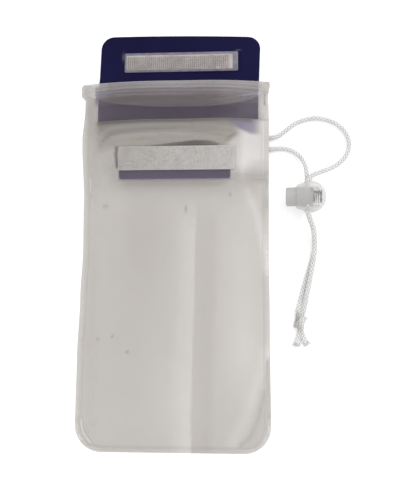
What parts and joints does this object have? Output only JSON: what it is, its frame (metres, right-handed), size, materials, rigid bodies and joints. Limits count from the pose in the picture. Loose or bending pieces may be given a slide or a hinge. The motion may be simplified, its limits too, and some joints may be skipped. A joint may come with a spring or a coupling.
{
  "type": "waterproof phone pouch",
  "caption": "Flat waterproof pouch of frosted clear film with a press seal, a blue fold-over flap with touch-fastener tapes, and a white carrying cord with a push-button cord lock.",
  "frame": {"origin": "on the resting surface under the middle of the pouch's length and width, flap included and cord left out", "axes": "+Z out of the pouch's front, +Y towards the flap, +X towards the side where the cord leaves"},
  "size_m": [0.1489, 0.228, 0.017],
  "materials": {
    "clear_film": "soft frosted clear film with a greasy gloss",
    "blue_film": "deep navy film, lightly glossy",
    "seal_plastic": "clear extruded strip with fine tracks",
    "hook_tape": "off-white woven tape with fine ribs of hooks",
    "loop_tape": "off-white woven tape with a soft mottled pile",
    "cord_braid": "white round braid",
    "lock_plastic": "milky translucent moulding",
    "spring_steel": "bright drawn wire"
  },
  "bodies": {
    "pouch": {"back_film": "clear_film", "front_film": "clear_film", "cord_tab": "clear_film", "flap_sheet": "blue_film", "tape_backing_patch": "blue_film", "seal_groove_strip": "seal_plastic", "seal_rib_strip": "seal_plastic", "flap_hook_tape": "hook_tape", "front_loop_tape": "loop_tape", "cord_long_strand": "cord_braid", "cord_short_strand": "cord_braid", "cord_knot": "cord_braid", "lock_barrel": "lock_plastic", "lock_spring": "spring_steel"},
    "plunger": {"lock_plunger": "lock_plastic"}
  },
  "joints": [
    {"name": "plunger_press", "type": "slide", "parent": "pouch", "child": "plunger", "axis": [1, 0, 0], "range_m": [0, 0.003], "stiffness_N_per_m": 200, "springref_m": -0.002, "deforming": ["lock_spring"]}
  ]
}
